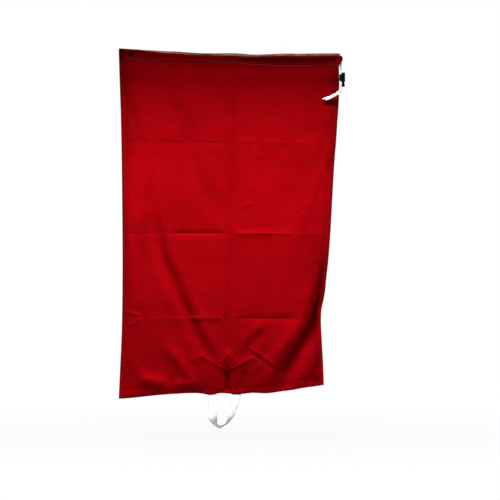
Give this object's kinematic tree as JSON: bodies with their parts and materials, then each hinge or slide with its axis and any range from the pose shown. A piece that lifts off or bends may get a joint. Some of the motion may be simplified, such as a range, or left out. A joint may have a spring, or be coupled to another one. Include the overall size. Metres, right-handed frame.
{
  "type": "drawstring stuff sack",
  "caption": "Large flat drawstring stuff sack with a hemmed mouth, drawcord, spring cord lock and a webbing carry loop in its bottom seam.",
  "frame": {"origin": "on the outer face of the back panel, at its flat centre, where the empty sack rests", "axes": "+Z from the bottom seam to the mouth, +X towards the side where the drawcord leaves, -Y out of the front panel"},
  "size_m": [0.6118, 0.0484, 1.0259],
  "materials": {
    "red_nylon": "plain woven, low sheen",
    "seam_thread": "sewing thread",
    "sewing_thread": "sewing thread",
    "tan_tape": "woven tape",
    "cream_webbing": "woven webbing",
    "white_cord": "braided cord",
    "black_plastic": "moulded, satin",
    "black_button": "moulded, satin",
    "spring_steel": "drawn wire"
  },
  "bodies": {
    "sack": {"front_panel": "red_nylon", "back_panel": "red_nylon", "left_seam_thread": "seam_thread", "right_seam_thread": "seam_thread", "bottom_seam_thread_left": "seam_thread", "bottom_seam_thread_middle": "seam_thread", "bottom_seam_thread_right": "seam_thread", "front_casing_stitch": "sewing_thread", "back_casing_stitch": "sewing_thread", "exit_bartack": "seam_thread", "mouth_tape": "tan_tape", "handle_tab_left": "cream_webbing", "handle_tab_right": "cream_webbing"},
    "drawcord": {"drawcord_front_run": "white_cord", "drawcord_back_run": "white_cord"},
    "cord_tails": {"drawcord_front_tail": "white_cord", "drawcord_back_tail": "white_cord", "cord_knot": "white_cord", "cord_end_front": "white_cord", "cord_end_back": "white_cord"},
    "cord_lock": {"lock_body": "black_plastic", "lock_spring": "spring_steel"},
    "lock_plunger": {"lock_button": "black_button"},
    "carry_loop": {"handle_loop": "cream_webbing"}
  },
  "joints": [
    {"name": "drawcord_pull", "type": "slide", "parent": "sack", "child": "drawcord", "axis": [0.9998, 0, -0.0193], "range_m": [0, 0.3]},
    {"name": "cord_tail_swing", "type": "hinge", "parent": "drawcord", "child": "cord_tails", "pos_m": [0.2978, -0.024, 0.4338], "axis": [0, -1, 0], "range_deg": [0, 90]},
    {"name": "lock_slide", "type": "slide", "parent": "cord_tails", "child": "cord_lock", "axis": [0, 0, 1], "range_m": [-0.01, 0.01]},
    {"name": "button_press", "type": "slide", "parent": "cord_lock", "child": "lock_plunger", "axis": [0, 0, 1], "range_m": [0, 0.005], "stiffness_N_per_m": 900, "springref_m": -0.004, "deforming": ["lock_spring"]},
    {"name": "handle_swing", "type": "hinge", "parent": "sack", "child": "carry_loop", "pos_m": [0, -0.024, -0.471], "axis": [1, 0, 0], "range_deg": [-90, 90]}
  ]
}
